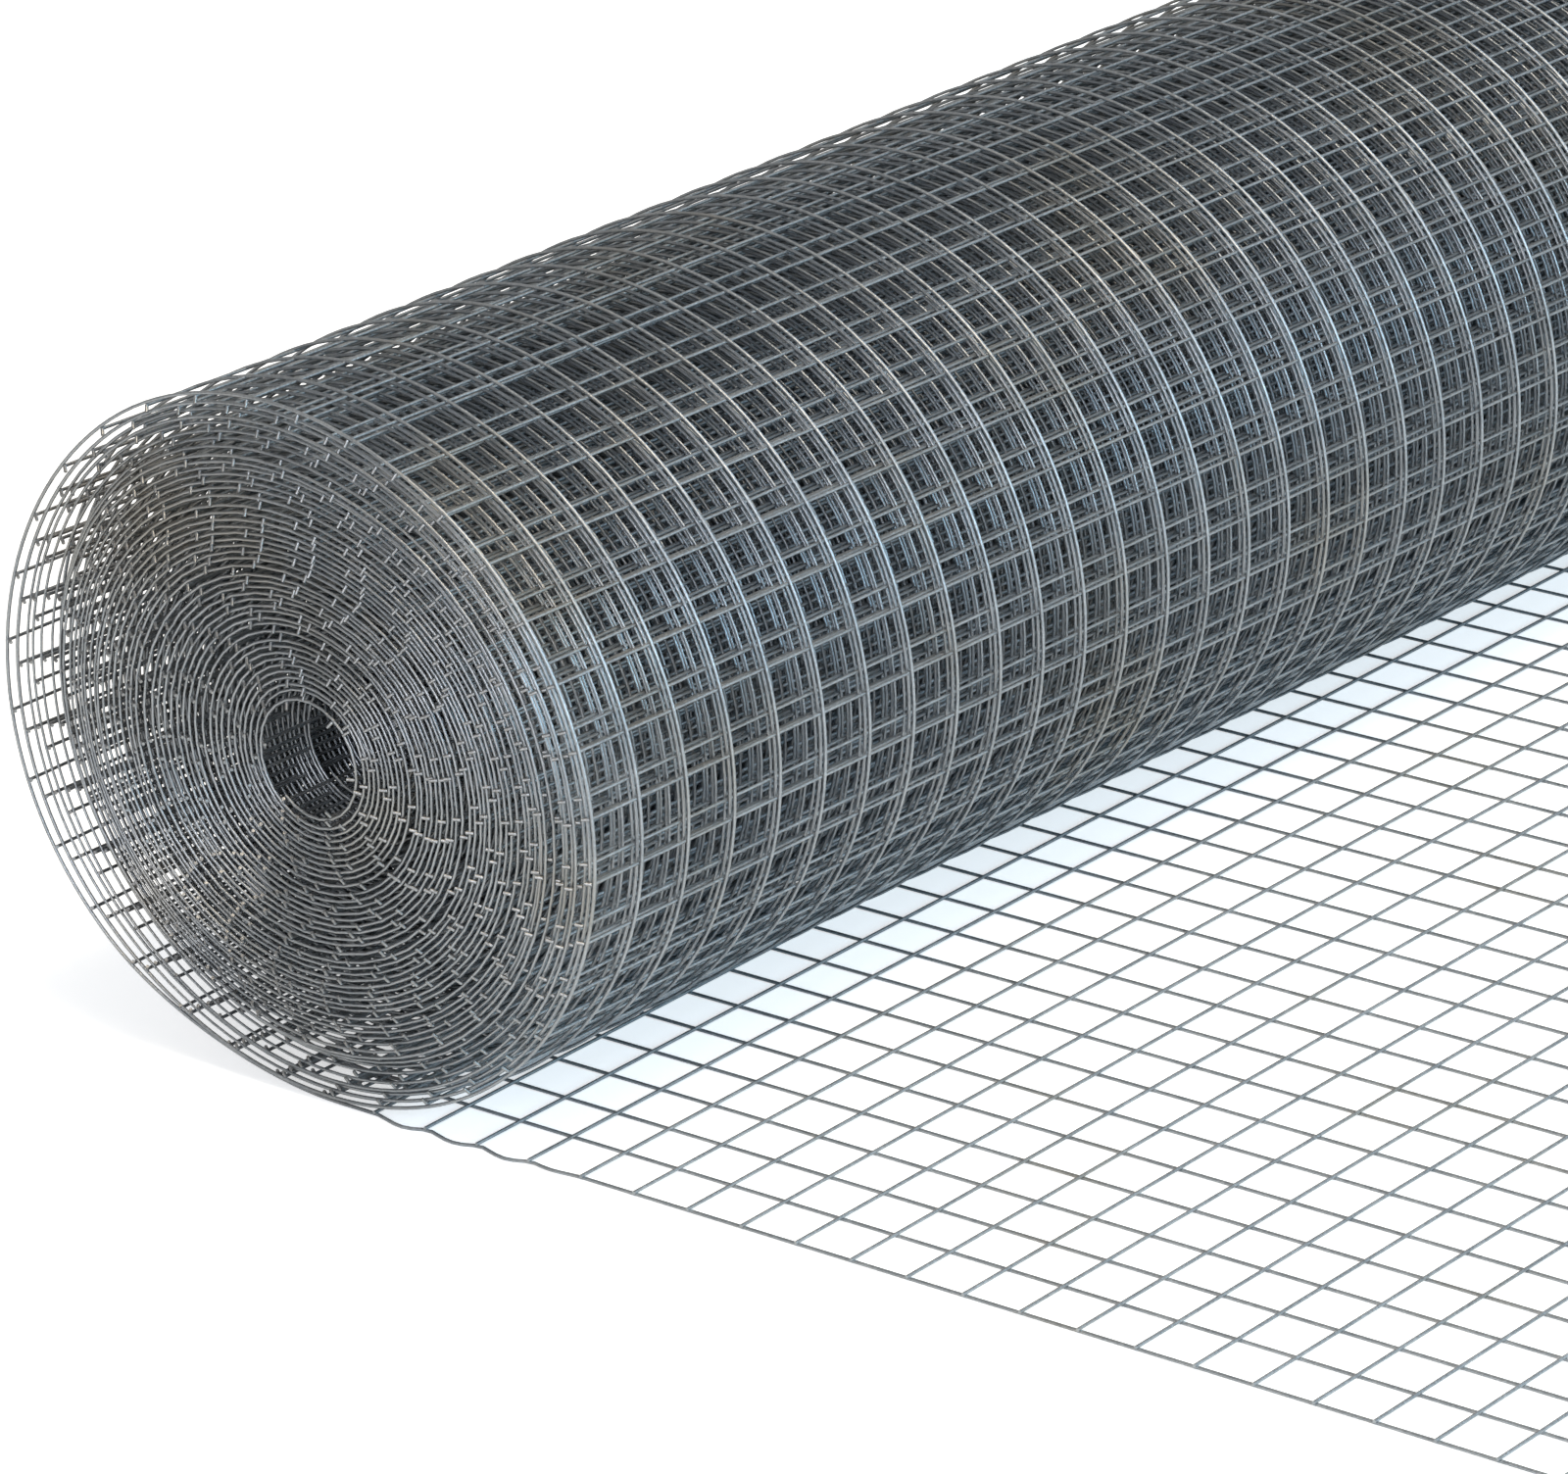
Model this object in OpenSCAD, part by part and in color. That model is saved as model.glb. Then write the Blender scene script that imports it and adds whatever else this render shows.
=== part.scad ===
// A roll of square welded wire mesh that lies on the free end of its own sheet.
// The roll's axis runs along Y and the free end leaves it along +X, flat on the floor.

/* [Mesh] */
// Spacing of the wires, centre to centre, both ways
cell = 25.4; // [22:0.1:30]
// Diameter of the wire
wire_d = 1.4; // [0.9:0.05:1.8]
// How far two wires melt into each other at a weld
weld_sink = 0.3; // [0.1:0.05:0.4]
// How far the cut cross wires stand out past the edge wires
stub = 1.5; // [0.5:0.25:4]
// Width of the sheet, between its edge wires
sheet_w = 914.4; // [600:25.4:1016]

/* [Roll] */
// Diameter over the loose outermost turns
roll_d = 276; // [240:0.5:320]
// Diameter of the open centre
bore_d = 45; // [30:0.5:70]
// Distance from one turn to the next
turn_pitch = 2.5; // [2:0.02:4]
// Outermost turns that have sprung loose from the tight winding
loose_turns = 2; // [1:1:4]
// Width of the room between the loose turns and the tight winding, if it sat in their middle
slack_w = 4; // [3:0.5:8]
// Direction in which the tight winding has settled inside the loose turns
settle_angle = -39; // [-90:1:0]
// How far the open centre lies to the side of the tight winding's middle
bore_shift_x = -6.5; // [-10:0.5:10]
// How far the open centre lies above the tight winding's middle
bore_shift_z = -0.5; // [-8:0.5:8]
// How far the tight winding interlocks with the loose turns where it bears on them
bearing_depth = 0.4; // [0.3:0.1:0.6]
// How far the loose turns have slid out at the near end
rim_slide = 8; // [2:0.5:12]
// Depth of the grooves between the turns in the ends of the roll
groove_depth = 3; // [1:0.5:6]
// Depth of the open crescent between the loose turns and the tight winding
crescent_depth = 25; // [15:1:60]

/* [Free end] */
// Length of the free end, from the line on which the roll rests
tail_length = 580; // [300:5:720]
// Place of the first cross wire, under the roll
first_cross_x = -6.9; // [-10:0.1:-2]
// Angle between the roll's axis and the cross wires of the free end
sheet_skew = 1.6; // [0.5:0.1:3]
// Room between the free end and the underside of the roll
seat_gap = 0.3; // [0.2:0.05:0.5]

/* [Hidden] */

$fn = 120;
bar_sides = 6;
zinc = [0.50, 0.52, 0.54];

// The winding, seen along its axis from the middle of the loose turns
roll_r = roll_d / 2;
bore_r = bore_d / 2;
loose_wall = loose_turns * turn_pitch;
core_r = roll_r - loose_wall - slack_w;
// The tight winding bears on the loose turns, where their wires interlock a little
settle = slack_w + bearing_depth;
core_at = settle * [cos(settle_angle), sin(settle_angle)];
bore_at = core_at + [bore_shift_x, bore_shift_z];
core_turns = floor((core_r - bore_r - wire_d) / turn_pitch);
core_pitch = (core_r - bore_r - wire_d) / core_turns;

// The sheet: whole cells fill its width, and its edge wires are the first and the last
cells_wide = round(sheet_w / cell);
wires_w = cells_wide * cell;
sheet_t = 2 * wire_d - weld_sink;
edge = wire_d / 2;
bar_r = edge / cos(180 / bar_sides);
core_y = [-edge, wires_w + edge];
loose_y = core_y - [rim_slide, rim_slide];

// The free end, along its own line wires from the line on which the roll rests
bands = 3;
cells_long = floor((tail_length - stub - bar_r - first_cross_x) / cell);
band_rows = ceil((cells_long + 1) / bands);
tail_from = first_cross_x - cell / 2;
last_cross_x = first_cross_x + cells_long * cell;

// The box that the whole object fills, from the corner where the roll rests
far_corner_y = (last_cross_x + bar_r) * sin(sheet_skew) + (wires_w + stub) * cos(sheet_skew);
box_x = [-roll_r, tail_length * cos(sheet_skew) + bar_r * sin(sheet_skew)];
box_y = [loose_y[0], max(core_y[1], far_corner_y)];
middle = [-(box_x[0] + box_x[1]) / 2, -(box_y[0] + box_y[1]) / 2, 0];

// An outline in X and Z, carried along the roll's axis from one Y to another
module along_roll(span) {
    translate([0, span[1], 0])
        rotate([90, 0, 0])
            linear_extrude(span[1] - span[0])
                children();
}

// The edge wire of one turn, seen from the end
module turn(outer_r, at) {
    translate(at)
        difference() {
            circle(outer_r);
            circle(outer_r - wire_d);
        }
}

// The edge wires of the tight winding: their middles drift from the bore's to the core's
module core_edges() {
    for (i = [0 : core_turns])
        turn(bore_r + i * core_pitch + wire_d, bore_at + (core_at - bore_at) * i / core_turns);
}

// The edge wires of the loose turns
module loose_edges() {
    for (i = [0 : loose_turns - 1])
        turn(roll_r - i * turn_pitch, [0, 0]);
}

// The edge wires stand out of both ends of a part of the winding, and reach one wire into it
module both_ends(span) {
    reach = groove_depth + wire_d;
    along_roll([span[0], span[0] + reach]) children();
    along_roll([span[1] - reach, span[1]]) children();
}

// A span made shorter at both its ends
function inset(span, depth) = span + [depth, -depth];

// The whole roll: the tight winding, the loose turns round it and the open centre
module mesh_roll() {
    color(zinc)
        translate(middle + [0, 0, sheet_t + seat_gap + roll_r])
            difference() {
                union() {
                    along_roll(inset(core_y, crescent_depth)) circle(roll_r);
                    along_roll(inset(core_y, groove_depth)) translate(core_at) circle(core_r);
                    along_roll(inset(loose_y, groove_depth))
                        difference() {
                            circle(roll_r);
                            circle(roll_r - loose_wall);
                        }
                    both_ends(core_y) core_edges();
                    both_ends(loose_y) loose_edges();
                }
                along_roll(inset(core_y, -1)) translate(bore_at) circle(bore_r);
            }
}

// A line wire, along the free end
module line_wire(from, to) {
    translate([from, 0, edge])
        rotate([0, 90, 0])
            rotate([0, 0, 180 / bar_sides])
                cylinder(h = to - from, r = bar_r, $fn = bar_sides);
}

// A cross wire, welded on top of the line wires, with its cut ends standing out
module cross_wire() {
    translate([0, -stub, edge + wire_d - weld_sink])
        rotate([-90, 0, 0])
            cylinder(h = wires_w + 2 * stub, r = bar_r, $fn = bar_sides);
}

// One band of the free end; bands meet face to face, halfway between two cross wires
module tail_band(band) {
    first = band * band_rows;
    last = min(first + band_rows - 1, cells_long);
    from = band == 0 ? tail_from : first_cross_x + (first - 0.5) * cell;
    to = band == bands - 1 ? tail_length : first_cross_x + (last + 0.5) * cell;
    color(zinc)
        translate(middle)
            rotate([0, 0, sheet_skew])
                union() {
                    for (i = [0 : cells_wide])
                        translate([0, i * cell, 0])
                            line_wire(from, to);
                    for (i = [first : last])
                        translate([first_cross_x + i * cell, 0, 0])
                            cross_wire();
                }
}

module tail_root() { tail_band(0); }
module tail_middle() { tail_band(1); }
module tail_end() { tail_band(2); }

mesh_roll();
tail_root();
tail_middle();
tail_end();
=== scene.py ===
"""A roll of galvanised welded wire mesh whose free end lies flat on the floor.

The sheet is described once, in its own flat coordinates: how far along it, how far across it and how
deep in its thickness. One node group carries those coordinates into space, flat along the free end and
in a spiral through the roll. Line wires and cross wires are drawn in sheet coordinates and bent by it.
"""

import logging
import math
from dataclasses import dataclass, field
from enum import Enum

import bpy
from mathutils import Matrix, Quaternion, Vector

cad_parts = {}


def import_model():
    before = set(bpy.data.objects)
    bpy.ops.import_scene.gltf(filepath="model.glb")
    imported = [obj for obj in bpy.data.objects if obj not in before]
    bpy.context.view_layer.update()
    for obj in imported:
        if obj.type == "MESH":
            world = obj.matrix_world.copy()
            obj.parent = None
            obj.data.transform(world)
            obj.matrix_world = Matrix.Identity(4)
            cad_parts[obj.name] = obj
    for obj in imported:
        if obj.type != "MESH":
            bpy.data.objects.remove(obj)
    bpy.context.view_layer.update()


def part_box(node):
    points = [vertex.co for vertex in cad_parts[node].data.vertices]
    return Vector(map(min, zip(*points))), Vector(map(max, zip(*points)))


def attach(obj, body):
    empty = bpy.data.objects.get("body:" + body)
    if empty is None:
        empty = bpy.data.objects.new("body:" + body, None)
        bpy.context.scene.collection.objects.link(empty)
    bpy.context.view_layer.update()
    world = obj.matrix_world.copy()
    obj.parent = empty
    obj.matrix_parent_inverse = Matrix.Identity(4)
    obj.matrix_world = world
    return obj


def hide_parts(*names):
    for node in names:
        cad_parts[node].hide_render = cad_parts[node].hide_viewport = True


log = logging.getLogger("wire_mesh_roll")

MM = 0.001
BODY = "root"
TURN = 2.0 * math.pi


class Way(Enum):
    """The two ways that wires run in the sheet."""

    LINE = "line"
    CROSS = "cross"


# ------------------------------------------------------------
# Sizes
# ------------------------------------------------------------


@dataclass(frozen=True)
class Sheet:
    """The welded mesh, in metres.

    Attributes:
        cell: Spacing of the wires, both ways.
        wire_d: Diameter of the wire.
        weld_sink: How far two wires melt into each other at a weld.
        stub: How far the cut cross wires stand out past the edge wires.
        stub_droop: How far the shear has bent those ends out of the sheet.
        cells_wide: Cells across the sheet.
        tail_length: Length of the free end, from the line on which the roll rests.
        first_cross: Where the first cross wire under the roll is, along the sheet.
        skew: Angle between the roll's axis and the cross wires of the free end.
        edge_bow: How far the near edge wire bows out between the welds beside the roll.
        bow_lean: How far each bow leans away from the roll; 1 is even.
        bowed_cells: The cells where the bows start, begin to fade and end.
    """

    cell: float = 25.4 * MM
    wire_d: float = 1.4 * MM
    weld_sink: float = 0.3 * MM
    stub: float = 1.5 * MM
    stub_droop: float = 2.5 * MM
    cells_wide: int = 36
    tail_length: float = 580 * MM
    first_cross: float = 6.9 * MM
    skew: float = math.radians(1.6)
    edge_bow: float = 3.3 * MM
    bow_lean: float = 1.35
    bowed_cells: tuple[float, float, float] = (1.0, 3.6, 5.2)

    @property
    def width(self) -> float:
        """Distance between the two edge wires."""
        return self.cells_wide * self.cell

    @property
    def wire_r(self) -> float:
        """Radius of the wire."""
        return self.wire_d / 2

    @property
    def cross_depth(self) -> float:
        """How deep the cross wires lie behind the line wires, middle to middle."""
        return self.wire_d - self.weld_sink

    @property
    def lap(self) -> float:
        """How far before the resting line the skewed sheet starts to rise at its far edge."""
        return self.width * math.tan(self.skew)


@dataclass(frozen=True)
class Winding:
    """How the sheet is wound, in metres and in turns counted from where the roll rests.

    The tight winding is a spiral that is a little wider than it is tall. Its middle drifts from the
    middle of the outermost turn to the middle of the bore, and it bulges at its upper left. At the
    near end the outermost turns have slid out and flared, and the turns inside them form a hump.

    A place round the roll is a share of a turn, from its lowest point by way of its left side. A lobe
    is such a place and how narrow the lobe is. A span in turns starts, is fullest and ends.

    Attributes:
        turns: Number of turns.
        first_r: Radius of the outermost turn.
        last_r: Radius of the innermost turn.
        first_x: Place to the side of the middle of the outermost turn.
        bore_x: Place to the side of the middle of the bore.
        bore_rise: How far the middle of the bore lies above that of the outermost turn.
        widening: Half of what the outermost turn is wider than tall.
        sheet_r: Radius of the outermost turn that counts for the sheet's length.
        first_slack: Length by which the loose first turn falls short of that.
        loose_turns: How many turns have sprung loose.
        bulge: Height of the bulge.
        bulge_span: Places round the roll where the bulge starts, is fullest and ends.
        top_gap: Twice how far the first turn stands off the next at the top.
        gap_span: Turns over which it does so.
        package_turns: Turns in each package.
        package_start: Turn where the first package starts.
        package_gap: Width of the gap after each package.
        package_onset: Turns over which the packages set in.
        package_waves: Waves that make up the gaps.
        unevenness: Unevenness of the turns.
        uneven_scale: Scale of the unevenness round the roll and from turn to turn.
        uneven_onset: Turns over which the unevenness sets in.
        slide: How far the first turn has slid out at the near end.
        slide_lobe: Lobe of the slide.
        hump: How far the turns inside the loose ones have slid out.
        hump_lobe: Lobe of the hump.
        hump_turns: Turns where the hump starts, is highest and ends.
        flare: How far the first turn flares at the near end.
        flare_lobe: Lobe of the flare.
        flare_reach: How far the flare reaches into the roll.
        end_bulge: How far the whole winding bulges at the near end.
        end_bulge_lobe: Lobe of that bulge.
        lip_start: Length over which all this sets in.
        end_steps: How far each turn's edge is behind the first turn's, in millimetres.
        step_span: Share of a turn over which one step goes.
        end_scatter: Range of the further turns' steps.
        scatter_scale: Scale of that from turn to turn.
        scatter_row: Row of the noise that it is read from.
    """

    turns: float = 45.0
    first_r: float = 139.45 * MM
    last_r: float = 23.1 * MM
    first_x: float = -2.55 * MM
    bore_x: float = -3.1 * MM
    bore_rise: float = 0.65 * MM
    widening: float = 3.2 * MM
    sheet_r: float = 141.85 * MM
    first_slack: float = 13.95 * MM
    loose_turns: float = 5.5
    bulge: float = 7.3 * MM
    bulge_span: tuple[float, float, float] = (0.08, 0.39, 0.58)
    top_gap: float = 2.4 * MM
    gap_span: tuple[float, float, float] = (0.2, 0.45, 0.85)
    package_turns: float = 9.8
    package_start: float = 5.2
    package_gap: float = 1.4 * MM
    package_onset: tuple[float, float] = (2.0, 5.0)
    package_waves: int = 4
    unevenness: float = 0.35 * MM
    uneven_scale: tuple[float, float] = (1.6, 1.4)
    uneven_onset: tuple[float, float] = (0.3, 2.0)
    slide: float = 9.2 * MM
    slide_lobe: tuple[float, float] = (0.22, 3.0)
    hump: float = 11.0 * MM
    hump_lobe: tuple[float, float] = (0.26, 1.0)
    hump_turns: tuple[float, float, float] = (4.0, 17.0, 43.0)
    flare: float = 3.6 * MM
    flare_lobe: tuple[float, float] = (0.21, 6.0)
    flare_reach: float = 20 * MM
    end_bulge: float = 2.2 * MM
    end_bulge_lobe: tuple[float, float] = (0.34, 4.0)
    lip_start: float = 120 * MM
    end_steps: tuple[float, ...] = (0.0, 0.5, 0.9, -1.5, -0.4, 0.7, 2.0, -0.3, -2.2, -1.6, 0.4)
    step_span: float = 0.4
    end_scatter: float = 3.0 * MM
    scatter_scale: float = 0.7
    scatter_row: float = 3.7

    @property
    def pitch(self) -> float:
        """Distance from one turn to the next."""
        return (self.first_r - self.last_r) / self.turns

    @property
    def sheet_pitch(self) -> float:
        """How much the radius that counts for the sheet's length shrinks in a turn."""
        return (self.sheet_r - self.last_r) / self.turns

    def length_to(self, turn: float) -> float:
        """Length of sheet wound between the place where the roll rests and a turn.

        Args:
            turn: How many turns in from the place where the roll rests.

        Returns:
            The length, in metres.
        """
        length = TURN * (self.sheet_r * turn - self.sheet_pitch * turn**2 / 2)
        return length - self.first_slack if turn > 0.5 else length


# ------------------------------------------------------------
# Node trees
# ------------------------------------------------------------


class Flow:
    """A number that flows through a node tree; arithmetic on it adds Math nodes."""

    def __init__(self, tree: "Tree", socket: bpy.types.NodeSocket) -> None:
        """Keeps the tree and the socket that the number comes out of."""
        self.tree = tree
        self.socket = socket

    def maths(self, operation: str, *others: "Flow | float") -> "Flow":
        """Adds one Math node.

        Args:
            operation: The Math node's operation.
            others: Its further inputs, in order.

        Returns:
            The node's result.
        """
        node = self.tree.add("ShaderNodeMath", operation=operation)
        for index, value in enumerate((self, *others)):
            self.tree.feed(node.inputs[index], value)
        return Flow(self.tree, node.outputs[0])

    def __add__(self, other: "Flow | float") -> "Flow":
        """The sum."""
        return self.maths("ADD", other)

    def __sub__(self, other: "Flow | float") -> "Flow":
        """The difference."""
        return self.maths("SUBTRACT", other)

    def __rsub__(self, other: float) -> "Flow":
        """The difference, with a plain number first."""
        return (self * -1.0) + other

    def __mul__(self, other: "Flow | float") -> "Flow":
        """The product."""
        return self.maths("MULTIPLY", other)

    def __truediv__(self, other: "Flow | float") -> "Flow":
        """The quotient."""
        return self.maths("DIVIDE", other)

    def smooth(self, low: "Flow | float", high: "Flow | float") -> "Flow":
        """A smooth step.

        Args:
            low: Where the step starts, at 0.
            high: Where it ends, at 1.

        Returns:
            A number from 0 to 1.
        """
        node = self.tree.add("ShaderNodeMapRange", interpolation_type="SMOOTHSTEP")
        for name, value in (("Value", self), ("From Min", low), ("From Max", high)):
            self.tree.feed(node.inputs[name], value)
        return Flow(self.tree, node.outputs["Result"])


class Tree:
    """A geometry node tree under construction."""

    def __init__(self, name: str) -> None:
        """Makes the tree with its group input and output nodes.

        Args:
            name: The tree's name.
        """
        self.tree = bpy.data.node_groups.new(name, "GeometryNodeTree")
        self.source = self.add("NodeGroupInput")
        self.result = self.add("NodeGroupOutput")

    def add(self, kind: str, **settings: object) -> bpy.types.Node:
        """Adds a node.

        Args:
            kind: The node's type.
            settings: Properties to set on it.

        Returns:
            The new node.
        """
        node = self.tree.nodes.new(kind)
        for name, value in settings.items():
            setattr(node, name, value)
        return node

    def feed(self, socket: bpy.types.NodeSocket, value: object) -> None:
        """Links a flow or another socket into a socket, or sets its plain value.

        Args:
            socket: The socket that is fed.
            value: What goes into it.
        """
        if isinstance(value, Flow):
            self.tree.links.new(value.socket, socket)
        elif isinstance(value, bpy.types.NodeSocket):
            self.tree.links.new(value, socket)
        else:
            socket.default_value = value

    def take(self, name: str, kind: str = "Float") -> Flow:
        """Declares a named input of the tree.

        Args:
            name: The input's name.
            kind: Its socket type, such as Float or Vector.

        Returns:
            What flows in through it.
        """
        self.tree.interface.new_socket(name, in_out="INPUT", socket_type=f"NodeSocket{kind}")
        return Flow(self, self.source.outputs[name])

    def give(self, name: str, kind: str, value: object) -> None:
        """Declares a named output of the tree and links a value to it."""
        self.tree.interface.new_socket(name, in_out="OUTPUT", socket_type=f"NodeSocket{kind}")
        self.feed(self.result.inputs[name], value)

    def parts(self, vector: object) -> tuple[Flow, Flow, Flow]:
        """The three parts of a vector.

        Args:
            vector: What the vector flows out of.

        Returns:
            Its parts.
        """
        node = self.add("ShaderNodeSeparateXYZ")
        self.feed(node.inputs[0], vector)
        return tuple(Flow(self, out) for out in node.outputs)

    def vector(self, x: object, y: object, z: object = 0.0) -> Flow:
        """A vector from its three parts.

        Args:
            x: Its first part.
            y: Its second part.
            z: Its third part.

        Returns:
            The vector.
        """
        node = self.add("ShaderNodeCombineXYZ")
        for socket, value in zip(node.inputs, (x, y, z)):
            self.feed(socket, value)
        return Flow(self, node.outputs[0])

    def noise(self, where: Flow) -> Flow:
        """Smooth noise round zero.

        Args:
            where: The vector that it is read at.

        Returns:
            A number from about -0.5 to 0.5.
        """
        node = self.add("ShaderNodeTexNoise")
        self.feed(node.inputs["Vector"], where)
        self.feed(node.inputs["Scale"], 1.0)
        self.feed(node.inputs["Detail"], 1.0)
        return Flow(self, node.outputs[0]) - 0.5


class SheetInSpace:
    """The node group that carries sheet coordinates into space."""

    def __init__(self, sheet: Sheet, winding: Winding, contact: Vector) -> None:
        """Keeps the sizes.

        Args:
            sheet: The welded mesh.
            winding: How it is wound.
            contact: Where the near edge wire meets the line on which the roll rests.
        """
        self.sheet = sheet
        self.winding = winding
        self.contact = contact

    def build(self) -> bpy.types.NodeTree:
        """Builds the group.

        Returns:
            A group with the input Sheet (along, across, deep) and the output Position.
        """
        tree = Tree("Sheet in space")
        along, across, deep = tree.parts(tree.take("Sheet", "Vector"))
        across = across - self._edge_bow(along, across)
        shape = self.winding
        skew = self.sheet.skew

        # The cross wires of the free end are askew to the roll, and come square within a turn.
        square = along.smooth(0.0, TURN * shape.first_r)
        wound = along + across * math.tan(skew) * (1.0 - square)
        inside = (wound + shape.first_x).maths("MAXIMUM", 0.0)
        taken = inside + inside.smooth(0.0, math.pi * shape.first_r) * shape.first_slack
        root = (shape.sheet_r**2 - taken * (shape.sheet_pitch / math.pi)).maths("MAXIMUM", 0.0)
        turn = (shape.sheet_r - root.maths("SQRT")) / shape.sheet_pitch
        angle = turn * -TURN - math.pi / 2

        centre_x, centre_z, radius = self._round(tree, turn, angle)
        out, slid = self._lip(turn, across, inside)
        radius = radius + out - deep
        spiral = tree.vector(
            centre_x + radius * angle.maths("COSINE") + self.contact.x,
            across / math.cos(skew) - slid + self._end_steps(tree, turn) + self.contact.y,
            centre_z + radius * angle.maths("SINE") + self.sheet.wire_r,
        )
        flat = tree.vector(
            along * -math.cos(skew) - across * math.sin(skew) + self.contact.x,
            along * -math.sin(skew) + across * math.cos(skew) + self.contact.y,
            deep + self.sheet.wire_r,
        )
        choice = tree.add("GeometryNodeSwitch", input_type="VECTOR")
        tree.feed(choice.inputs["Switch"], wound.maths("LESS_THAN", -shape.first_x))
        tree.feed(choice.inputs["False"], spiral)
        tree.feed(choice.inputs["True"], flat)
        tree.give("Position", "Vector", choice.outputs[0])
        return tree.tree

    def _edge_bow(self, along: Flow, across: Flow) -> Flow:
        """How far the near edge wire bows out between the welds, in a few cells beside the roll.

        Args:
            along: How far along the sheet.
            across: How far from the near edge wire.

        Returns:
            The bow, away from the sheet.
        """
        sheet = self.sheet
        cells = (along * -1.0 + sheet.first_cross) / sheet.cell
        arches = (cells.maths("FRACT").maths("POWER", sheet.bow_lean) * math.pi).maths("SINE")
        first, fading, last = sheet.bowed_cells
        some = cells.maths("GREATER_THAN", first) * (1.0 - cells.smooth(fading, last))
        return arches * some * (1.0 - across.smooth(0.0, sheet.cell / 2)) * sheet.edge_bow

    def _round(self, tree: Tree, turn: Flow, angle: Flow) -> tuple[Flow, Flow, Flow]:
        """The middle and radius of the winding at a turn.

        Args:
            tree: The tree under construction.
            turn: How many turns in.
            angle: The angle round the roll.

        Returns:
            The middle's place to the side, its height over the lowest turn, and the radius.
        """
        shape = self.winding
        inwards = turn / shape.turns
        centre_x = inwards * (shape.bore_x - shape.first_x) + shape.first_x
        centre_z = inwards * shape.bore_rise + (shape.first_r - shape.widening)
        radius = turn * -shape.pitch + shape.first_r
        radius = radius + (angle * 2.0).maths("COSINE") * (1.0 - inwards) * shape.widening

        # The winding bulges at the upper left, and the first turn stands off the next at the top.
        lifted = self._span(turn.maths("FRACT"), shape.bulge_span)
        radius = radius + lifted * (1.0 - inwards) * shape.bulge
        first_only = self._span(turn, shape.gap_span)
        radius = radius + first_only * (shape.top_gap / 2)

        # Turns bunch into packages with a wider gap after each.
        beat = (turn - shape.package_start) * (TURN / shape.package_turns)
        for number in range(1, shape.package_waves + 1):
            wave = (beat * float(number)).maths("SINE") * (shape.package_gap / math.pi / number)
            radius = radius - wave * turn.smooth(*shape.package_onset)
        scale, from_turn_to_turn = shape.uneven_scale
        spot = tree.vector(
            angle.maths("COSINE") * scale, angle.maths("SINE") * scale, turn * from_turn_to_turn
        )
        uneven = tree.noise(spot) * shape.unevenness * turn.smooth(*shape.uneven_onset)
        return centre_x, centre_z, radius + uneven

    def _end_steps(self, tree: Tree, turn: Flow) -> Flow:
        """How far each turn is out of line with the first at the ends of the roll.

        Args:
            tree: The tree under construction.
            turn: How many turns in.

        Returns:
            The step, away from the near end.
        """
        shape = self.winding
        steps = shape.end_steps
        inner = turn.smooth(len(steps) - 1.0, len(steps) + 1.0)
        spot = tree.vector(turn * shape.scatter_scale, shape.scatter_row)
        total = tree.noise(spot) * shape.end_scatter * inner
        for count, (before, after) in enumerate(zip(steps, steps[1:]), start=1):
            total = total + turn.smooth(float(count), count + shape.step_span) * (after - before) * MM
        return total

    @staticmethod
    def _span(value: Flow, span: tuple[float, float, float]) -> Flow:
        """A smooth rise and fall.

        Args:
            value: The number that it follows.
            span: Where it starts, is fullest and ends.

        Returns:
            1 where it is fullest and 0 outside the span.
        """
        start, fullest, end = span
        return value.smooth(start, fullest) * (1.0 - value.smooth(fullest, end))

    @staticmethod
    def _lobe(turn: Flow, lobe: tuple[float, float]) -> Flow:
        """A lobe on one side of the roll.

        Args:
            turn: How many turns in.
            lobe: Where round the roll the lobe is fullest, and how narrow it is.

        Returns:
            1 where the lobe is fullest and 0 on the far side of the roll.
        """
        place, narrowness = lobe
        side = ((turn - place) * TURN).maths("COSINE") * 0.5 + 0.5
        return side.maths("POWER", narrowness)

    def _lip(self, turn: Flow, across: Flow, inside: Flow) -> tuple[Flow, Flow]:
        """The lip where the outermost turns have slid out and flared, and the hump inside it.

        Args:
            turn: How many turns in.
            across: How far from the near edge wire.
            inside: Length wound since the place where the roll rests.

        Returns:
            How far the sheet stands out from its turn, and how far it has slid towards the near end.
        """
        shape = self.winding
        start = inside.smooth(0.0, shape.lip_start)
        outermost = (1.0 - turn / shape.loose_turns).maths("MAXIMUM", 0.0) * start
        first, highest, last = shape.hump_turns
        rising = ((turn - first) / (highest - first)).maths("MAXIMUM", 0.0).maths("MINIMUM", 1.0)
        hump = rising * (1.0 - turn.smooth(highest, last)) * self._lobe(turn, shape.hump_lobe)
        near = (across.maths("MAXIMUM", 0.0) / -shape.flare_reach).maths("EXPONENT")
        whole = (1.0 - turn / shape.turns) * start * near * shape.end_bulge
        out = self._lobe(turn, shape.flare_lobe) * outermost * near * shape.flare
        out = out + self._lobe(turn, shape.end_bulge_lobe) * whole
        slid = self._lobe(turn, shape.slide_lobe) * outermost * shape.slide + hump * shape.hump
        return out, slid


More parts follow.
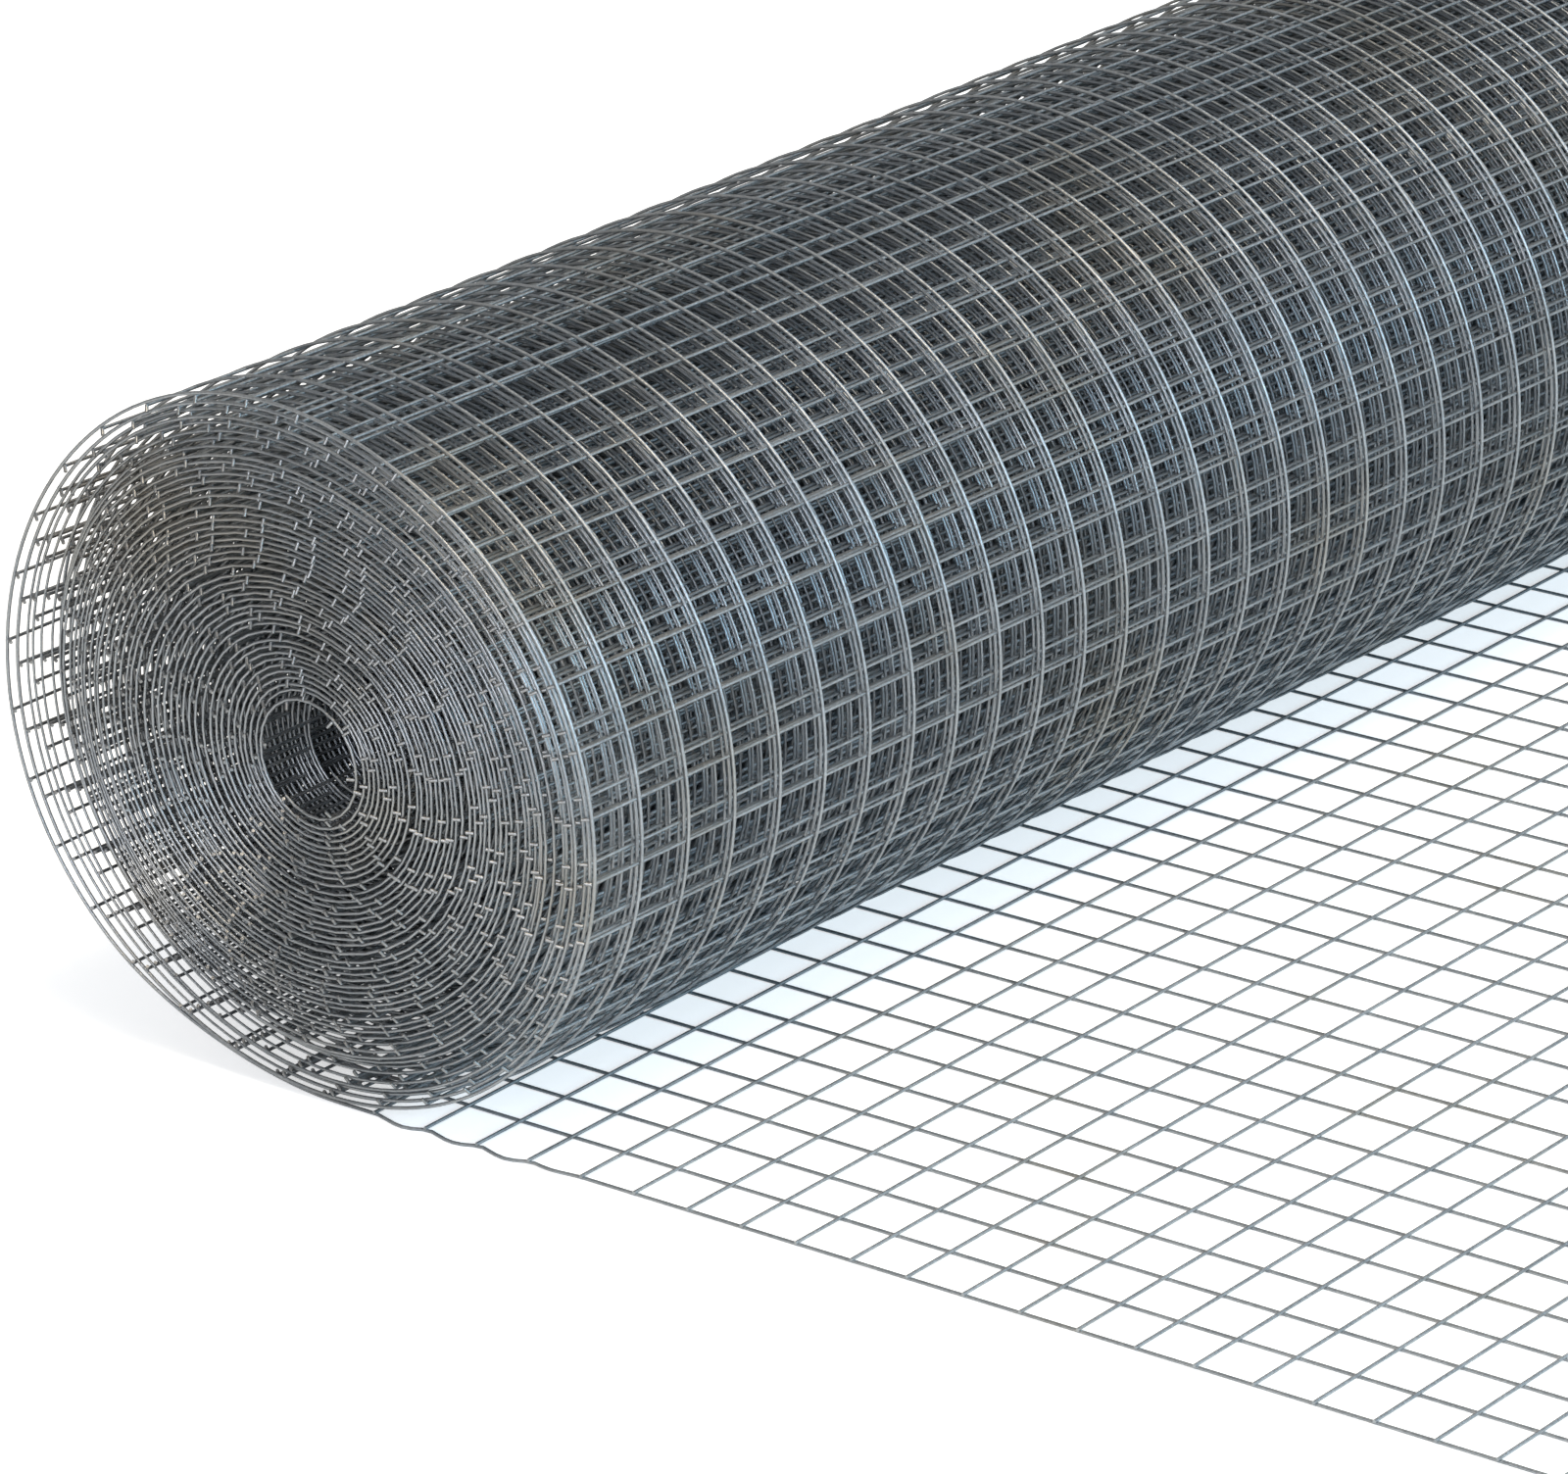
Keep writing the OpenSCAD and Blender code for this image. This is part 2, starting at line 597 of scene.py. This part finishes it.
class Wires:
    """The tree that draws one set of wires in sheet coordinates and bends them into place."""

    def __init__(self, way: Way, in_space: bpy.types.NodeTree) -> None:
        """Keeps the way that the wires run and the group that bends them."""
        self.way = way
        self.in_space = in_space

    def build(self) -> bpy.types.NodeTree:
        """Builds the tree.

        Returns:
            A tree with named inputs for the wires' number, spacing, length, thickness and sides.
        """
        tree = Tree(f"Welded mesh {self.way.value} wires")
        first = tree.take("First", "Vector")
        step = tree.take("Step", "Vector")
        reach = tree.take("Reach", "Vector")
        count = tree.take("Count", "Int")
        points = tree.take("Points", "Int")
        radius = tree.take("Radius")
        sides = tree.take("Sides", "Int")
        material = tree.take("Material", "Material")

        rail = tree.add("GeometryNodeMeshLine", mode="OFFSET")
        tree.feed(rail.inputs["Count"], count)
        tree.feed(rail.inputs["Start Location"], first)
        tree.feed(rail.inputs["Offset"], step)
        wire = tree.add("GeometryNodeCurvePrimitiveLine")
        tree.feed(wire.inputs["End"], reach)
        divided = tree.add("GeometryNodeResampleCurve")
        tree.feed(divided.inputs["Curve"], wire.outputs["Curve"])
        tree.feed(divided.inputs["Count"], points)
        placed = tree.add("GeometryNodeInstanceOnPoints")
        tree.feed(placed.inputs["Points"], rail.outputs["Mesh"])
        tree.feed(placed.inputs["Instance"], divided.outputs["Curve"])
        real = tree.add("GeometryNodeRealizeInstances")
        tree.feed(real.inputs["Geometry"], placed.outputs["Instances"])

        spot = tree.add("GeometryNodeInputPosition")
        bend = tree.add("GeometryNodeGroup", node_tree=self.in_space)
        tree.feed(bend.inputs["Sheet"], spot.outputs["Position"])
        kept = tree.add("GeometryNodeStoreNamedAttribute", data_type="FLOAT_VECTOR", domain="POINT")
        tree.feed(kept.inputs["Geometry"], real.outputs["Geometry"])
        tree.feed(kept.inputs["Name"], "sheet")
        tree.feed(kept.inputs["Value"], spot.outputs["Position"])
        bent = tree.add("GeometryNodeSetPosition")
        tree.feed(bent.inputs["Geometry"], kept.outputs["Geometry"])
        tree.feed(bent.inputs["Position"], bend.outputs["Position"])

        section = tree.add("GeometryNodeCurvePrimitiveCircle")
        tree.feed(section.inputs["Resolution"], sides)
        tree.feed(section.inputs["Radius"], radius)
        solid = tree.add("GeometryNodeCurveToMesh")
        tree.feed(solid.inputs["Curve"], bent.outputs["Geometry"])
        tree.feed(solid.inputs["Profile Curve"], section.outputs["Curve"])
        tree.feed(solid.inputs["Fill Caps"], True)
        whole = tree.add("GeometryNodeRealizeInstances")
        tree.feed(whole.inputs["Geometry"], solid.outputs["Mesh"])
        dressed = tree.add("GeometryNodeSetMaterial")
        tree.feed(dressed.inputs["Geometry"], whole.outputs["Geometry"])
        tree.feed(dressed.inputs["Material"], material)
        tree.give("Geometry", "Geometry", dressed.outputs["Geometry"])
        return tree.tree


def grown(name: str, tree: bpy.types.NodeTree, values: dict[str, object]) -> bpy.types.Object:
    """Runs a geometry node tree and keeps its result as a plain mesh piece.

    Args:
        name: The piece's name.
        tree: The geometry node tree.
        values: The tree's inputs, by name.

    Returns:
        The piece, at the origin, with no modifier left.
    """
    piece = bpy.data.objects.new(name, bpy.data.meshes.new(name))
    bpy.context.scene.collection.objects.link(piece)
    modifier = piece.modifiers.new("Wires", "NODES")
    modifier.node_group = tree
    for socket in tree.interface.items_tree:
        if socket.item_type == "SOCKET" and socket.in_out == "INPUT":
            modifier[socket.identifier] = values[socket.name]
    piece.update_tag()
    view = bpy.context.evaluated_depsgraph_get()
    mesh = bpy.data.meshes.new_from_object(piece.evaluated_get(view), depsgraph=view)
    piece.modifiers.clear()
    piece.data = mesh
    mesh.name = name
    mesh.shade_smooth()
    return piece


# ------------------------------------------------------------
# Finishes
# ------------------------------------------------------------


Colour = tuple[float, float, float]


@dataclass(frozen=True)
class Speckles:
    """One layer of noise in the zinc.

    Attributes:
        scale: How many blotches go to a metre.
        detail: How many finer layers it has.
        limits: The noise that counts as 0 and as 1.
        share: How much of it reaches the colour.
    """

    scale: float
    detail: float
    limits: tuple[float, float]
    share: float


@dataclass(frozen=True)
class ZincPattern:
    """How the colours of the zinc spread over the wire.

    Attributes:
        fine: The finest speckles, which also make the relief and vary the roughness.
        streaks: The broader streaks.
        patches: The patches of tarnish.
        painted_shade_onset: Where the painted shade starts and is full, as lengths from where the roll
            rests.
        painted_shade_centre: The same, as lengths from the sheet's end at the open centre.
        painted_shade_inset: The same, as distances from the edge wires.
        painted_shade_share: How much of the painted shade reaches the colour.
        cut_depth: Where the grey of the cut ends starts and is full, as depths in the sheet.
        roughening: How much rougher the brightest speckles are.
        bump_strength: Strength of the relief.
        bump_height: Height of the relief.
    """

    fine: Speckles = Speckles(900.0, 3.0, (0.35, 0.68), 0.55)
    streaks: Speckles = Speckles(60.0, 2.0, (0.38, 0.66), 0.45)
    patches: Speckles = Speckles(11.0, 2.0, (0.53, 0.74), 0.45)
    # Painted shade: these place the darkening of the inner turns where the shadow inside the roll
    # falls.
    painted_shade_onset: tuple[float, float] = (1.5, 5.0)
    painted_shade_centre: tuple[float, float] = (0.15, 0.45)
    painted_shade_inset: tuple[float, float] = (30 * MM, 85 * MM)
    painted_shade_share: float = 0.42
    cut_depth: tuple[float, float] = (1.5 * MM, 2.1 * MM)
    roughening: float = 0.12
    bump_strength: float = 0.35
    bump_height: float = 0.2 * MM


@dataclass(frozen=True)
class ZincFinish:
    """Galvanised steel wire: grey zinc with a mottled bloom, tarnish and plain grey cut ends.

    Inside the roll, away from both ends and from the open centre, the turns are painted darker and
    bluer: painted shade that stands in for the shadow deep between the wires.
    """

    name: str
    sheet_width: float
    wound_length: float
    dull: Colour = (0.31, 0.325, 0.34)
    bright: Colour = (0.50, 0.51, 0.52)
    # Painted shade: the dark blue-grey that the inner turns are painted towards, in place of the shadow
    # inside the roll.
    painted_shade: Colour = (0.14, 0.165, 0.20)
    tarnish: Colour = (0.38, 0.325, 0.24)
    bare: Colour = (0.36, 0.355, 0.35)
    metallic: float = 0.85
    roughness: float = 0.33
    pattern: ZincPattern = ZincPattern()

    def build(self) -> bpy.types.Material:
        """Builds the material.

        Returns:
            The material.
        """
        material = bpy.data.materials.new(self.name)
        material.use_nodes = True
        nodes = material.node_tree.nodes
        links = material.node_tree.links
        shader = nodes["Principled BSDF"]
        shader.inputs["Metallic"].default_value = self.metallic
        place = nodes.new("ShaderNodeTexCoord")
        sheet = nodes.new("ShaderNodeAttribute")
        sheet.attribute_name = "sheet"
        zinc = nodes.new("ShaderNodeGroup")
        zinc.node_tree = zinc_group(self.pattern)
        for label in ("Dull", "Bright", "Tarnish", "Bare", "Painted_Shade"):
            zinc.inputs[label].default_value = (*getattr(self, label.lower()), 1.0)
        zinc.inputs["Half Width"].default_value = self.sheet_width / 2
        zinc.inputs["Wound Length"].default_value = self.wound_length
        zinc.inputs["Roughness"].default_value = self.roughness
        links.new(place.outputs["Object"], zinc.inputs["Place"])
        links.new(sheet.outputs["Vector"], zinc.inputs["Sheet"])
        links.new(zinc.outputs["Colour"], shader.inputs["Base Color"])
        links.new(zinc.outputs["Roughness"], shader.inputs["Roughness"])
        links.new(zinc.outputs["Normal"], shader.inputs["Normal"])
        return material


def zinc_group(pattern: ZincPattern) -> bpy.types.NodeTree:
    """The shader group for hot-dipped zinc on wire, with painted shade on the inner turns, made once.

    Args:
        pattern: How its colours spread.

    Returns:
        A group with the place in space, the place in the sheet and colours as inputs, and the
        outputs Colour, Roughness and Normal.
    """
    name = "Zinc on wire"
    if name in bpy.data.node_groups:
        return bpy.data.node_groups[name]
    tree = bpy.data.node_groups.new(name, "ShaderNodeTree")
    kinds = {"Place": "Vector", "Sheet": "Vector", "Dull": "Color", "Bright": "Color",
             "Tarnish": "Color", "Bare": "Color", "Painted_Shade": "Color", "Half Width": "Float",
             "Wound Length": "Float", "Roughness": "Float"}
    for label, kind in kinds.items():
        tree.interface.new_socket(label, in_out="INPUT", socket_type=f"NodeSocket{kind}")
    for label, kind in (("Colour", "Color"), ("Roughness", "Float"), ("Normal", "Vector")):
        tree.interface.new_socket(label, in_out="OUTPUT", socket_type=f"NodeSocket{kind}")
    source = tree.nodes.new("NodeGroupInput")
    result = tree.nodes.new("NodeGroupOutput")

    def maths(operation: str, *values: bpy.types.NodeSocket | float) -> bpy.types.NodeSocket:
        """One Math node.

        Args:
            operation: The node's operation.
            values: Its inputs, in order.

        Returns:
            Its result.
        """
        node = tree.nodes.new("ShaderNodeMath")
        node.operation = operation
        for socket, value in zip(node.inputs, values):
            if isinstance(value, bpy.types.NodeSocket):
                tree.links.new(value, socket)
            else:
                socket.default_value = value
        return node.outputs[0]

    def ramp(value: bpy.types.NodeSocket, limits: tuple[float, float]) -> bpy.types.NodeSocket:
        """A value stretched so that it goes from 0 to 1 between two limits.

        Args:
            value: The value.
            limits: The two limits.

        Returns:
            The stretched value.
        """
        node = tree.nodes.new("ShaderNodeMapRange")
        node.inputs["From Min"].default_value, node.inputs["From Max"].default_value = limits
        tree.links.new(value, node.inputs["Value"])
        return node.outputs["Result"]

    def speckle(layer: Speckles) -> bpy.types.NodeSocket:
        """One layer of noise.

        Args:
            layer: The layer.

        Returns:
            Its noise, from 0 to 1.
        """
        noise = tree.nodes.new("ShaderNodeTexNoise")
        noise.inputs["Scale"].default_value = layer.scale
        noise.inputs["Detail"].default_value = layer.detail
        tree.links.new(source.outputs["Place"], noise.inputs["Vector"])
        return ramp(noise.outputs[0], layer.limits)

    def blend(factor: bpy.types.NodeSocket, a: bpy.types.NodeSocket,
              b: bpy.types.NodeSocket) -> bpy.types.NodeSocket:
        """Mixes two colours.

        Args:
            factor: How much of the second there is.
            a: The first colour.
            b: The second colour.

        Returns:
            The mixed colour.
        """
        node = tree.nodes.new("ShaderNodeMix")
        node.data_type = "RGBA"
        tree.links.new(factor, node.inputs["Factor"])
        colours = [socket for socket in node.inputs if socket.type == "RGBA"]
        tree.links.new(a, colours[0])
        tree.links.new(b, colours[1])
        return [socket for socket in node.outputs if socket.type == "RGBA"][0]

    fine = speckle(pattern.fine)
    broad = maths("MULTIPLY", speckle(pattern.streaks), pattern.streaks.share)
    both = maths("MULTIPLY_ADD", fine, pattern.fine.share, broad)
    mottled = blend(both, source.outputs["Dull"], source.outputs["Bright"])
    patches = maths("MULTIPLY", speckle(pattern.patches), pattern.patches.share)
    stained = blend(patches, mottled, source.outputs["Tarnish"])

    # Painted shade on the inner turns: it grows from the second turn to the sixth, fades again in the
    # last three round the open centre and starts a little way in from the ends.
    spot = tree.nodes.new("ShaderNodeSeparateXYZ")
    tree.links.new(source.outputs["Sheet"], spot.inputs[0])
    off_middle = maths("ABSOLUTE", maths("SUBTRACT", spot.outputs["Y"], source.outputs["Half Width"]))
    from_end = maths("SUBTRACT", source.outputs["Half Width"], off_middle)
    to_centre = maths("SUBTRACT", source.outputs["Wound Length"], spot.outputs["X"])
    after_onset = ramp(spot.outputs["X"], pattern.painted_shade_onset)
    between = maths("MULTIPLY", after_onset, ramp(to_centre, pattern.painted_shade_centre))
    # Where the painted shade falls, from 0 to 1; it is then blended into the zinc's colour.
    painted_shade_mask = maths("MULTIPLY", between, ramp(from_end, pattern.painted_shade_inset))
    with_painted_shade = blend(maths("MULTIPLY", painted_shade_mask, pattern.painted_shade_share), stained, source.outputs["Painted_Shade"])

    # The bent cut ends, which lie deeper in the sheet than any other wire, are a plain grey.
    cut = ramp(spot.outputs["Z"], pattern.cut_depth)
    tree.links.new(blend(cut, with_painted_shade, source.outputs["Bare"]), result.inputs["Colour"])
    roughness = maths("MULTIPLY_ADD", fine, pattern.roughening, source.outputs["Roughness"])
    tree.links.new(roughness, result.inputs["Roughness"])
    bump = tree.nodes.new("ShaderNodeBump")
    bump.inputs["Strength"].default_value = pattern.bump_strength
    bump.inputs["Distance"].default_value = pattern.bump_height
    tree.links.new(fine, bump.inputs["Height"])
    tree.links.new(bump.outputs["Normal"], result.inputs["Normal"])
    return tree


# ------------------------------------------------------------
# The roll and its free end
# ------------------------------------------------------------


@dataclass(frozen=True)
class Stretch:
    """A stretch of the wound sheet, from one turn to another, whose line wires make one piece."""

    name: str
    first_turn: float
    last_turn: float
    points_a_cell: int
    sides: int


@dataclass
class WoundSheet:
    """The roll: every line wire and cross wire of every turn."""

    sheet: Sheet
    winding: Winding
    lines: bpy.types.NodeTree
    crosses: bpy.types.NodeTree
    material: bpy.types.Material
    stretches: tuple[Stretch, ...] = (
        Stretch("roll_outer_line_wires", 0.0, 2.0, 4, 6),
        Stretch("roll_second_line_wires", 2.0, 6.0, 3, 4),
        Stretch("roll_third_line_wires", 6.0, 17.0, 2, 4),
        Stretch("roll_fourth_line_wires", 17.0, 31.0, 2, 4),
        Stretch("roll_inner_line_wires", 31.0, 40.0, 3, 4),
        Stretch("roll_core_line_wires", 40.0, 45.0, 4, 4),
    )
    cross_points: int = 10
    cross_sides: int = 5
    cut_end_sides: int = 6

    def build(self) -> None:
        """Builds the pieces and stands them in for the solid roll."""
        pieces = [self._line_wires(stretch) for stretch in self.stretches]
        pieces.append(self._cross_wires())
        pieces.append(self._cut_ends("roll_near_cut_ends", 0.0, -self.sheet.stub))
        pieces.append(self._cut_ends("roll_far_cut_ends", self.sheet.width, self.sheet.stub))
        for piece in pieces:
            finish_piece(piece)
        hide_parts("mesh_roll")

    def _whole_cells(self, turn: float) -> float:
        """The first cross wire at or past a turn, as a length along the sheet."""
        cells = math.ceil((self.winding.length_to(turn) - self.sheet.first_cross) / self.sheet.cell)
        return self.sheet.first_cross + cells * self.sheet.cell

    def _line_wires(self, stretch: Stretch) -> bpy.types.Object:
        """The line wires of one stretch.

        Args:
            stretch: The stretch.

        Returns:
            The piece.
        """
        start = self._whole_cells(stretch.first_turn) if stretch.first_turn > 0.0 else -self.sheet.lap
        end = self._whole_cells(stretch.last_turn)
        points = round((end - start) / self.sheet.cell * stretch.points_a_cell) + 1
        return grown(stretch.name, self.lines, {
            "First": (start, 0.0, 0.0),
            "Step": (0.0, self.sheet.cell, 0.0),
            "Reach": (end - start, 0.0, 0.0),
            "Count": self.sheet.cells_wide + 1,
            "Points": points,
            "Radius": self.sheet.wire_r,
            "Sides": stretch.sides,
            "Material": self.material,
        })

    def _cross_count(self) -> int:
        """How many cross wires are wound up in the roll."""
        wound = self.winding.length_to(self.winding.turns) - self.sheet.first_cross
        return math.floor(wound / self.sheet.cell) + 1

    def _cross_wires(self) -> bpy.types.Object:
        """The cross wires of the whole roll, from edge wire to edge wire.

        Returns:
            The piece.
        """
        return grown("roll_cross_wires", self.crosses, {
            "First": (self.sheet.first_cross, 0.0, self.sheet.cross_depth),
            "Step": (self.sheet.cell, 0.0, 0.0),
            "Reach": (0.0, self.sheet.width, 0.0),
            "Count": self._cross_count(),
            "Points": self.cross_points,
            "Radius": self.sheet.wire_r,
            "Sides": self.cross_sides,
            "Material": self.material,
        })

    def _cut_ends(self, name: str, edge: float, stub: float) -> bpy.types.Object:
        """The ends of the cross wires past one edge wire, which the shear has bent inwards.

        Args:
            name: The piece's name.
            edge: Where the edge wire is, across the sheet.
            stub: How far the ends stand out past it.

        Returns:
            The piece.
        """
        return grown(name, self.crosses, {
            "First": (self.sheet.first_cross, edge, self.sheet.cross_depth),
            "Step": (self.sheet.cell, 0.0, 0.0),
            "Reach": (0.0, stub, self.sheet.stub_droop),
            "Count": self._cross_count(),
            "Points": 2,
            "Radius": self.sheet.wire_r,
            "Sides": self.cut_end_sides,
            "Material": self.material,
        })


@dataclass
class FreeEnd:
    """The free end of the sheet, flat on the floor."""

    sheet: Sheet
    lines: bpy.types.NodeTree
    crosses: bpy.types.NodeTree
    material: bpy.types.Material
    line_points: int = 133
    cross_points: int = 73
    sides: int = 8

    def build(self) -> None:
        """Builds the pieces and stands them in for the flat bands."""
        lines = self._line_wires()
        crosses = self._cross_wires()
        for piece in (lines, crosses):
            finish_piece(piece)
        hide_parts("tail_root", "tail_middle", "tail_end")

    def _line_wires(self) -> bpy.types.Object:
        """The line wires of the free end.

        Returns:
            The piece.
        """
        return grown("tail_line_wires", self.lines, {
            "First": (-self.sheet.tail_length, 0.0, 0.0),
            "Step": (0.0, self.sheet.cell, 0.0),
            "Reach": (self.sheet.tail_length - self.sheet.lap, 0.0, 0.0),
            "Count": self.sheet.cells_wide + 1,
            "Points": self.line_points,
            "Radius": self.sheet.wire_r,
            "Sides": self.sides,
            "Material": self.material,
        })

    def _cross_wires(self) -> bpy.types.Object:
        """The cross wires of the free end, from the first one past the roll.

        Returns:
            The piece.
        """
        first = self.sheet.first_cross - self.sheet.cell
        count = math.floor((self.sheet.tail_length + first) / self.sheet.cell) + 1
        return grown("tail_cross_wires", self.crosses, {
            "First": (first, -self.sheet.stub, self.sheet.cross_depth),
            "Step": (-self.sheet.cell, 0.0, 0.0),
            "Reach": (0.0, self.sheet.width + 2 * self.sheet.stub, 0.0),
            "Count": count,
            "Points": self.cross_points,
            "Radius": self.sheet.wire_r,
            "Sides": self.sides,
            "Material": self.material,
        })


def finish_piece(piece: bpy.types.Object) -> None:
    """Fastens a piece to the part's body.

    Args:
        piece: The piece.
    """
    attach(piece, BODY)
    log.info("%s: %d faces", piece.name, len(piece.data.polygons))


# ------------------------------------------------------------
# The studio
# ------------------------------------------------------------


@dataclass(frozen=True)
class Softbox:
    """A soft rectangular lamp that looks at the object."""

    name: str
    place: tuple[float, float, float]
    size: tuple[float, float]
    power: float
    colour: Colour

    def build(self, aim: Vector) -> None:
        """Hangs the lamp.

        Args:
            aim: The point that it looks at.
        """
        lamp = bpy.data.lights.new(self.name, "AREA")
        lamp.shape = "RECTANGLE"
        lamp.size, lamp.size_y = self.size
        lamp.energy = self.power
        lamp.color = self.colour
        holder = bpy.data.objects.new(self.name, lamp)
        bpy.context.scene.collection.objects.link(holder)
        holder.location = self.place
        holder.rotation_euler = (aim - holder.location).to_track_quat("-Z", "Y").to_euler()


@dataclass
class Studio:
    """The floor, the lamps, the surroundings and the camera.

    Attributes:
        camera_place: Where the camera stands.
        camera_aim: The point that it looks at.
        camera_lean: How far it leans to one side.
        lens: Its focal length, in millimetres.
        sensor_width: Width of its sensor, in millimetres.
        sight: How far it sees.
        ambient: Light of the surroundings on surfaces and in reflections; 1 is white.
        sky: Colour of the surroundings.
        floor_reach: How far the floor goes to each side.
        floor_shade: How much light the floor throws back.
        floor_roughness: Roughness of the floor.
        floor_glow: What the floor adds to the light that it throws back to the eye.
        glow_growth: Distances between which that grows to 1, as the lamps fall off.
        lamps: The lamps.
        lamp_aim: The point that the lamps look at.
    """

    camera_place: Vector = field(default_factory=lambda: Vector((1.79595, -2.44923, 1.2635)))
    camera_aim: Vector = field(default_factory=lambda: Vector((-0.10802, -0.32872, 0.13)))
    camera_lean: float = math.radians(-2.764)
    lens: float = 189.6
    sensor_width: float = 36.0
    sight: float = 200.0
    ambient: float = 0.34
    sky: Colour = (0.97, 0.99, 1.0)
    floor_reach: float = 30.0
    floor_shade: float = 0.92
    floor_roughness: float = 0.9
    floor_glow: float = 0.58
    glow_growth: tuple[float, float] = (1.0, 2.6)
    lamps: tuple[Softbox, ...] = (
        Softbox("window_side", (2.75, 0.0, 1.3), (1.7, 1.1), 69.0, (0.46, 0.78, 1.0)),
        Softbox("overhead", (0.7, -0.5, 2.8), (1.3, 1.3), 52.0, (1.0, 0.87, 0.68)),
        Softbox("front_window", (1.3, -3.1, 1.4), (1.3, 1.3), 44.0, (0.87, 0.91, 1.0)),
        Softbox("back_window", (-0.4, 3.0, 0.9), (1.4, 1.2), 22.0, (0.62, 0.80, 1.0)),
    )
    lamp_aim: Vector = field(default_factory=lambda: Vector((-0.1, 0.0, 0.12)))

    def build(self) -> None:
        """Builds the studio round the object."""
        self._surroundings()
        self._floor()
        for lamp in self.lamps:
            lamp.build(self.lamp_aim)
        self._camera()
        bpy.context.scene.view_settings.view_transform = "Standard"

    def _surroundings(self) -> None:
        """White surroundings to the eye, and a softer light on surfaces and in their reflections."""
        world = bpy.data.worlds.new("Pale room")
        world.use_nodes = True
        nodes, links = world.node_tree.nodes, world.node_tree.links
        ground = nodes["Background"]
        ground.inputs["Color"].default_value = (*self.sky, 1.0)
        path = nodes.new("ShaderNodeLightPath")
        seen = nodes.new("ShaderNodeMath")
        seen.operation = "MAXIMUM"
        links.new(path.outputs["Is Camera Ray"], seen.inputs[0])
        links.new(path.outputs["Is Transmission Ray"], seen.inputs[1])
        strength = nodes.new("ShaderNodeMapRange")
        links.new(seen.outputs[0], strength.inputs["Value"])
        strength.inputs["To Min"].default_value = self.ambient
        strength.inputs["To Max"].default_value = 1.0
        links.new(strength.outputs["Result"], ground.inputs["Strength"])
        bpy.context.scene.world = world

    def _floor(self) -> None:
        """A wide pale floor that shows white to the eye and keeps the object's shadow."""
        mesh = bpy.data.meshes.new("floor")
        reach = self.floor_reach
        signs = ((-1, -1), (1, -1), (1, 1), (-1, 1))
        mesh.from_pydata([(x * reach, y * reach, 0.0) for x, y in signs], [], [(0, 1, 2, 3)])
        floor = bpy.data.objects.new("floor", mesh)
        bpy.context.scene.collection.objects.link(floor)
        material = bpy.data.materials.new("Pale floor")
        material.use_nodes = True
        shader = material.node_tree.nodes["Principled BSDF"]
        shader.inputs["Base Color"].default_value = (*[self.floor_shade] * 3, 1.0)
        shader.inputs["Roughness"].default_value = self.floor_roughness
        shader.inputs["Specular IOR Level"].default_value = 0.0
        nodes, links = material.node_tree.nodes, material.node_tree.links
        path = nodes.new("ShaderNodeLightPath")
        place = nodes.new("ShaderNodeTexCoord")
        away = nodes.new("ShaderNodeVectorMath")
        away.operation = "LENGTH"
        links.new(place.outputs["Object"], away.inputs[0])
        level = nodes.new("ShaderNodeMapRange")
        links.new(away.outputs["Value"], level.inputs["Value"])
        nearest, farthest = self.glow_growth
        limits = {"From Min": nearest, "From Max": farthest, "To Min": self.floor_glow, "To Max": 1.0}
        for name, value in limits.items():
            level.inputs[name].default_value = value
        glow = nodes.new("ShaderNodeMath")
        glow.operation = "MULTIPLY"
        links.new(level.outputs["Result"], glow.inputs[1])
        links.new(path.outputs["Is Camera Ray"], glow.inputs[0])
        shader.inputs["Emission Color"].default_value = (1.0, 1.0, 1.0, 1.0)
        links.new(glow.outputs[0], shader.inputs["Emission Strength"])
        mesh.materials.append(material)

    def _camera(self) -> None:
        """The camera, with its slight lean."""
        camera = bpy.data.objects.new("camera", bpy.data.cameras.new("camera"))
        bpy.context.scene.collection.objects.link(camera)
        camera.data.sensor_width = self.sensor_width
        camera.data.sensor_fit = "HORIZONTAL"
        camera.data.lens = self.lens
        camera.data.clip_end = self.sight
        look = (self.camera_aim - self.camera_place).to_track_quat("-Z", "Y")
        lean = Quaternion((0.0, 0.0, 1.0), self.camera_lean)
        camera.matrix_world = Matrix.Translation(self.camera_place) @ (look @ lean).to_matrix().to_4x4()
        bpy.context.scene.camera = camera


# ------------------------------------------------------------
# The scene
# ------------------------------------------------------------


def main() -> None:
    """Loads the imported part, dresses it and builds the studio round it."""
    logging.basicConfig(level=logging.INFO, format="%(name)s: %(message)s")
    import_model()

    sheet = Sheet()
    winding = Winding()
    low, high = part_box("mesh_roll")
    contact = Vector(((low.x + high.x) / 2, high.y - sheet.wire_r - sheet.width, 0.0))
    in_space = SheetInSpace(sheet, winding, contact).build()
    lines = Wires(Way.LINE, in_space).build()
    crosses = Wires(Way.CROSS, in_space).build()
    zinc = ZincFinish("Galvanised wire", sheet.width, winding.length_to(winding.turns)).build()

    WoundSheet(sheet, winding, lines, crosses, zinc).build()
    FreeEnd(sheet, lines, crosses, zinc).build()
    Studio().build()


if __name__ == "__main__":
    main()
